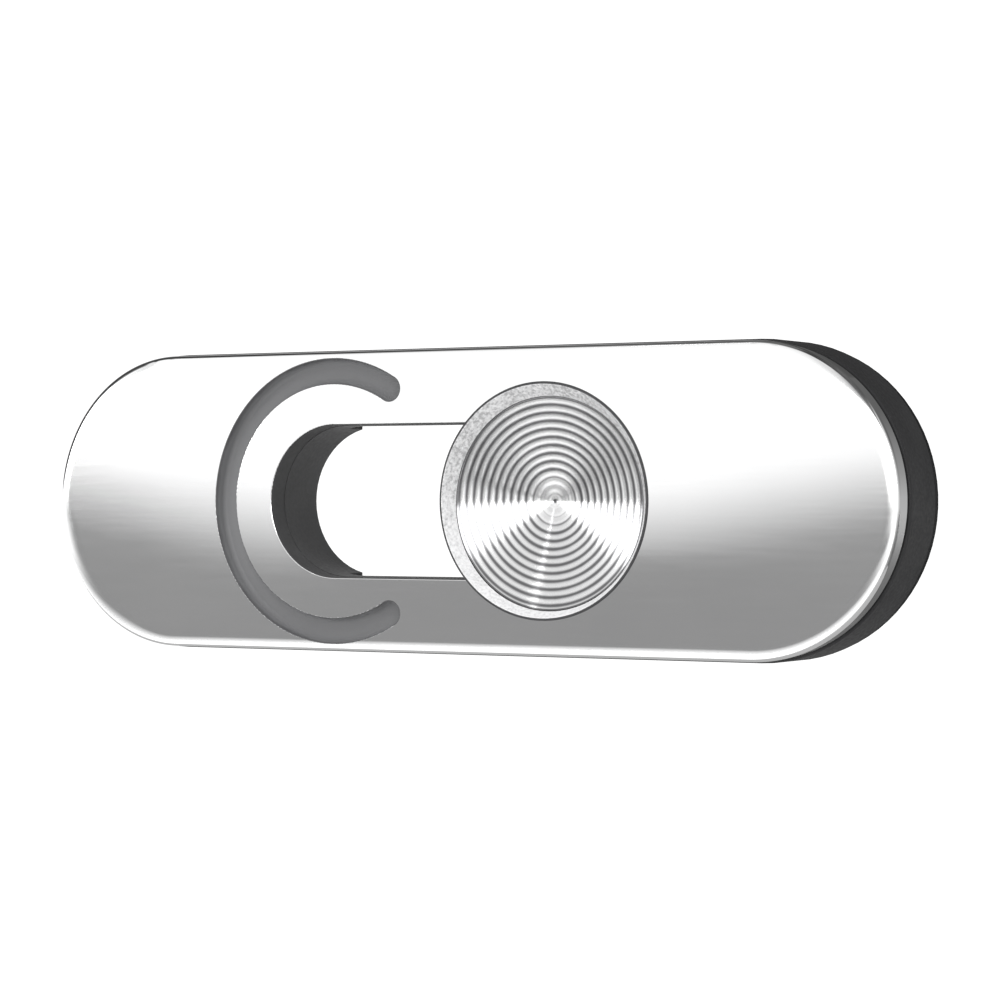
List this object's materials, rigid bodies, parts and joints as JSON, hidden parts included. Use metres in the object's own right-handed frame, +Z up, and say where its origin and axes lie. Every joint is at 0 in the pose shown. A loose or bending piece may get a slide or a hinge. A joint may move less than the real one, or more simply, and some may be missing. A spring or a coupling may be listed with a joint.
{
  "type": "sliding camera cover",
  "caption": "Stadium-shaped stick-on privacy cover for a small camera: polished plate on a dark base, through slot, open-ring recess and a round ringed knob that slides over the lens window.",
  "frame": {"origin": "centre of the adhesive back face, in the plane that meets the screen bezel or lid", "axes": "+X along the length, from the lens window towards the open end; +Z up as the cover sits above a screen; +Y out of the adhesive back, so the front faces -Y"},
  "size_m": [0.039, 0.005, 0.0124],
  "materials": {
    "plate_metal": "bright polished plating, the open-ring recess filled with matte grey paint",
    "bond_film": "black double-sided bonding film",
    "base_plastic": "charcoal moulded plastic, finely textured",
    "adhesive": "black adhesive foam",
    "knob_metal": "turned with concentric rings",
    "glide_film": "thin slippery plastic",
    "carriage_plastic": "black moulded acetal",
    "drag_rubber": "soft grey friction rubber",
    "screw_steel": "plain zinc-plated steel"
  },
  "bodies": {
    "cover": {"face_plate": "plate_metal", "plate_bond_film": "bond_film", "base_body": "base_plastic", "adhesive_pad": "adhesive"},
    "slider": {"knob_cap": "knob_metal", "glide_washer": "glide_film", "slide_carriage": "carriage_plastic", "drag_pads": "drag_rubber", "knob_screw": "screw_steel"}
  },
  "joints": [
    {"name": "knob_slide", "type": "slide", "parent": "cover", "child": "slider", "axis": [1, 0, 0], "range_m": [-0.01042, 0]}
  ]
}
